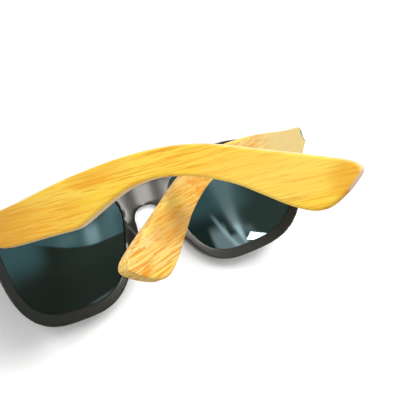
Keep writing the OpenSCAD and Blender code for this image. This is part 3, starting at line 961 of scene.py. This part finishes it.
class StageSettings(bpy.types.PropertyGroup):
    floor: colour_property("Floor", "Colour of the table", (0.95, 0.95, 0.95))
    floor_glow: level_property("Floor glow", "How much brighter the camera sees the far table", 0.25, 1.0)
    ceiling: colour_property("Ceiling", "Colour that shiny faces mirror from above", (0.58, 0.97, 0.93))
    streaks: colour_property("Streaks", "Colour of the pale streaks in the ceiling", (1.0, 0.965, 0.925))
    dusk: colour_property("Dusk", "Colour of the ceiling's dark parts", (0.25, 0.255, 0.175))
    lift_x: bpy.props.FloatProperty(
        name="Bridge light X", description="Direction of the bridge's light", default=0.25)
    lift_y: bpy.props.FloatProperty(
        name="Bridge light Y", description="Direction of the bridge's light", default=0.03)
    lift_level: level_property("Bridge light", "Brightness of the bridge's light", 40.0, 60.0)
    sky_level: level_property("Sky", "Strength of the light from all round", 0.47, 2.0)
    key_level: level_property("Key", "Brightness of the lamp overhead", 11.7, 30.0)
    fill_level: level_property("Fill", "Brightness of the small near lamp on the left", 5.0, 30.0)
    spot_level: level_property("Spot", "Brightness of the lamp that shows in the right lens", 24.0, 60.0)


class MakeFront(bpy.types.Operator):
    """Moulds the front with both rims, the bridge, the nose pads and the end pieces"""
    bl_idname = "sunglasses.make_front"
    bl_label = "Make the front"

    def execute(self, context):
        sizes = context.scene.sunglasses_sizes
        made = bmesh.new()
        made.from_mesh(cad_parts["front_frame"].data)
        bmesh.ops.remove_doubles(made, verts=made.verts, dist=TINY)
        front = add_mesh("moulded_front", finished_mesh("front", made))
        remesh = front.modifiers.new("cells", "REMESH")
        remesh.mode = "VOXEL"
        remesh.voxel_size = sizes.front_voxel
        remesh.use_smooth_shade = True
        soften(front, sizes.front_softness)
        shape_bridge(front, sizes)
        front.data.shade_smooth()
        dress(front, make_plastic(context.scene.sunglasses_colours))
        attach(front, "front")
        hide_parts("front_frame")
        return {"FINISHED"}


class MakeLenses(bpy.types.Operator):
    """Makes both lenses from one rule"""
    bl_idname = "sunglasses.make_lenses"
    bl_label = "Make the lenses"

    def execute(self, context):
        dome = context.scene.sunglasses_sizes.lens_dome
        glass = make_lens_glass(context.scene.sunglasses_colours)
        tree = lens_tree(glass, lens_numbers(RIGHT, dome))
        for side, word in SIDES.items():
            lens = grow(word + "_lens_glass", tree, lens_numbers(side, dome))
            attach(lens, "front")
            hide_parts(word + "_lens")
        return {"FINISHED"}


class MakeTemples(bpy.types.Operator):
    """Cuts both bamboo temples"""
    bl_idname = "sunglasses.make_temples"
    bl_label = "Make the temples"

    def execute(self, context):
        edge_round = context.scene.sunglasses_sizes.board_round / MM
        outline = smooth_edge(LOW_EDGE) + smooth_edge(TOP_EDGE)[::-1]
        outline = eased(outline, OUTLINE_SPACING, OUTLINE_PASSES)
        half = BOX_HALF + POCKET_GAP
        pocket_low = (-PAST, -half, BOARD_INNER - PAST)
        pocket_high = (BOX_END + POCKET_GAP, half, BOX_HIGH + POCKET_GAP)
        notch_low = (-PAST, -half, BOARD_INNER - 2 * PAST)
        notch_high = (NOTCH_END, half, BOARD_T + 2 * PAST)
        for side, word in SIDES.items():
            mesh = board_mesh(word + " board", outline, BOARD_INNER, BOARD_INNER + BOARD_T, edge_round)
            board = add_mesh(word + "_board", mesh)
            cut(board, box_mesh("pocket", pocket_low, pocket_high))
            cut(board, box_mesh("notch", notch_low, notch_high))
            place_mesh(board.data, on_temple(side))
            smooth(board.data, BOARD_CREASE)
            dress(board, make_bamboo(context.scene.sunglasses_colours, side))
            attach(board, word + "_side")
            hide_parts(word + "_temple")
            board.visible_glossy = False
        return {"FINISHED"}


class MakeHinges(bpy.types.Operator):
    """Gives the hinges, spring boxes and screws their metal and winds the springs"""
    bl_idname = "sunglasses.make_hinges"
    bl_label = "Finish the hinges"

    def execute(self, context):
        colours = context.scene.sunglasses_colours
        grey = make_metal("hinge metal", colours.metal, GREY_ROUGH)
        bright = make_metal("screw metal", colours.screw, BRIGHT_ROUGH)
        for word in SIDES.values():
            for nodes, metal in ((GREY_NODES, grey), (BRIGHT_NODES, bright)):
                for node in nodes:
                    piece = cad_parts[word + "_" + node]
                    dress(piece, metal)
                    piece.visible_glossy = False
        height = SPRING_END - SPRING_START - SPRING_WIRE
        numbers = {
            "Radius": SPRING_RADIUS, "Height": height, "Turns": SPRING_TURNS, "Wire radius": SPRING_WIRE / 2,
        }
        tree = spring_tree(bright, numbers)
        start = Matrix.Translation(Vector(((SPRING_START + SPRING_WIRE / 2) * MM, 0, 0)))
        lying = Matrix.Rotation(math.radians(90), 4, "Y")
        for side, word in SIDES.items():
            coil = grow(word + "_coil", tree, numbers)
            place_mesh(coil.data, on_temple(side) @ start @ lying)
            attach(coil, word + "_slide")
            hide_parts(word + "_spring")
            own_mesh(coil)
            coil.visible_glossy = False
        return {"FINISHED"}


class MakeStage(bpy.types.Operator):
    """Lays the table, hangs the lamps and sets the camera"""
    bl_idname = "sunglasses.make_stage"
    bl_label = "Make the stage"

    def execute(self, context):
        stage = context.scene.sunglasses_stage
        made = bmesh.new()
        bmesh.ops.create_grid(made, x_segments=2, y_segments=2, size=TABLE_HALF_METRES)
        floor = add_mesh("table", finished_mesh("table", made))
        dress(floor, make_table(stage))
        make_sky(stage)
        for name, place in LAMPS.items():
            add_lamp(name, getattr(stage, name + "_level"), **place)
        add_camera()
        bpy.context.scene.view_settings.view_transform = "Standard"
        return {"FINISHED"}


# Stage

def make_sky(stage):
    """Even light from all round. Shiny faces mirror a ceiling in three colours instead."""
    world = bpy.data.worlds.new("sky")
    bpy.context.scene.world = world
    world.use_nodes = True
    world.node_tree.nodes.clear()
    sky = Maker(world.node_tree)
    x, y = sky.parts(sky.wire("ShaderNodeTexCoord", None, None, "Generated"))[:2]
    to_right = x.ramp(*SIDE_CHANGE)
    both_sides = zip(left_ceiling(x, y), right_ceiling(x, y))
    teal, pale, dusk = [left + to_right * (right - left) for left, right in both_sides]
    lift = abs(x - stage.lift_x).fall(*LIFT_FADE) * y.hump(stage.lift_y, LIFT_HEIGHT) * stage.lift_level
    gloss = background(sky, stage.ceiling, teal)
    for shade, level in ((stage.streaks, pale + lift), (stage.dusk, dusk)):
        gloss = sky.wire("ShaderNodeAddShader", None, {0: gloss, 1: background(sky, shade, level)})
    seen = sky.wire("ShaderNodeLightPath", None, None, "Is Camera Ray")
    even = background(sky, (1, 1, 1), stage.sky_level + seen * (1.0 - stage.sky_level))
    path = sky.wire("ShaderNodeLightPath", None, None, "Is Glossy Ray")
    both = sky.wire("ShaderNodeMixShader", None, {0: path, 1: even, 2: gloss})
    sky.node("ShaderNodeOutputWorld", None, {"Surface": both})


def background(sky, shade, level):
    return sky.wire("ShaderNodeBackground", None, {"Color": colour(shade), "Strength": level})


def right_ceiling(x, y):
    """The strengths of teal, pale and dusk on the right: bright up to a bent edge, with pale patches."""
    past_start = (x - CEILING_START).higher(0.0)
    edge = CEILING_UP - CEILING_BEND * past_start * past_start
    inner = y.fall(edge - CEILING_SOFT, edge + CEILING_SOFT)
    outer = y.fall(*OUTER_FALL)
    bright = inner + x.ramp(*OUTER_START) * (outer - inner)
    bright = bright * y.ramp(*LOW_FADE).higher(x.fall(*LOW_UNTIL))
    patches = 0.0
    for patch in CEILING_PATCHES:
        patches = patches + x.hump(*patch["across"]) * y.hump(*patch["up"]) * patch["strength"]
    line = y.hump(*LINE_UP) * x.ramp(*LINE_START) * x.fall(*LINE_END)
    teal = RIGHT_DIM + bright * RIGHT_BRIGHT
    pale = bright * patches + line * LINE_STRENGTH
    dusk = (DUSK_STRENGTH - DUSK_UP_LOSS * y.ramp(*DUSK_UP)) * (1.0 - DUSK_OUT_LOSS * x.ramp(*DUSK_OUT))
    return teal, pale, dusk * (1.0 - bright)


def left_ceiling(x, y):
    """The strengths of teal, pale and dusk on the left: two pale streaks run together over a pale wedge."""
    width = ((BEAM_TOP - y) * BEAM_WIDEN).higher(0.0) + BEAM_WIDTH
    beam = x.hump(BEAM_MIDDLE, width)
    slant = THIN_MIDDLE - THIN_SLANT * (y - THIN_UP)
    thin = x.hump(slant, THIN_WIDTH) * y.ramp(*THIN_START)
    inner = x.fall(*WEDGE_END)
    wedge = x.ramp(*WEDGE_START) * inner * y.ramp(*WEDGE_UP)
    wedge = wedge.higher(x.ramp(*WEDGE_TOP_START) * inner * y.ramp(*WEDGE_TOP_UP))
    glow = x.hump(*SIDE_GLOW_X) * y.hump(*SIDE_GLOW_Y)
    teal = LEFT_DIM + y.fall(*LEFT_FALL) * x.ramp(*LEFT_START) * LEFT_BRIGHT
    pale = beam * (1.0 + BEAM_GAIN * y.ramp(*BEAM_RISE)) + thin * THIN_STRENGTH + wedge * WEDGE_STRENGTH
    pale = pale + beam * y.hump(*BEAM_CORE) * CORE_STRENGTH + glow * SIDE_GLOW_STRENGTH
    dusk = 1.0 - x.ramp(*LEFT_DUSK) * LEFT_DUSK_LOSS
    return teal, pale * y.fall(*PALE_END), dusk


def add_lamp(name, level, direction, along, distance, size, shows):
    """A rectangular lamp that faces the glasses. Its level is its face's brightness, where white is 1."""
    data = bpy.data.lights.new(name, "AREA")
    data.shape = "RECTANGLE"
    data.size, data.size_y = size
    data.energy = level * math.pi * size[0] * size[1]
    lamp = link(bpy.data.objects.new(name, data))
    towards = Vector(direction).normalized()
    third = towards.cross(Vector(along)).normalized()
    turn = Matrix((third.cross(towards), third, towards)).transposed()
    lamp.location = towards * distance
    lamp.rotation_euler = turn.to_euler()
    lamp.visible_glossy = shows


def add_camera():
    """The photograph's angle: low over the left temple, turned with the glasses."""
    data = bpy.data.cameras.new("camera")
    for name, value in CAMERA.items():
        setattr(data, name, value)
    camera = link(bpy.data.objects.new("camera", data))
    camera.location = Vector(CAMERA_PLACE) * MM
    camera.rotation_euler = Euler([math.radians(turn) for turn in CAMERA_TURN], "XYZ")
    bpy.context.scene.camera = camera


class SunglassesPanel(bpy.types.Panel):
    """Lists the settings and the steps"""
    bl_idname = "VIEW3D_PT_sunglasses"
    bl_label = "Sunglasses"
    bl_space_type = "VIEW_3D"
    bl_region_type = "UI"
    bl_category = "Sunglasses"

    def draw(self, context):
        for group_name in GROUPS:
            group = getattr(context.scene, group_name)
            for name in group.bl_rna.properties.keys():
                if name not in ("rna_type", "name"):
                    self.layout.prop(group, name)
        for operator in OPERATORS:
            self.layout.operator(operator.bl_idname)


GROUPS = {
    "sunglasses_sizes": SunglassesSizes,
    "sunglasses_colours": SunglassesColours,
    "sunglasses_stage": StageSettings,
}
OPERATORS = (MakeFront, MakeLenses, MakeTemples, MakeHinges, MakeStage)
CLASSES = (*GROUPS.values(), *OPERATORS, SunglassesPanel)


def register():
    for kind in CLASSES:
        bpy.utils.register_class(kind)
    for name, group in GROUPS.items():
        setattr(bpy.types.Scene, name, bpy.props.PointerProperty(type=group))


def unregister():
    for name in GROUPS:
        delattr(bpy.types.Scene, name)
    for kind in reversed(CLASSES):
        bpy.utils.unregister_class(kind)


def main():
    register()
    bpy.ops.sunglasses.make_front()
    bpy.ops.sunglasses.make_lenses()
    bpy.ops.sunglasses.make_temples()
    bpy.ops.sunglasses.make_hinges()
    bpy.ops.sunglasses.make_stage()


if __name__ == "__main__":
    main()
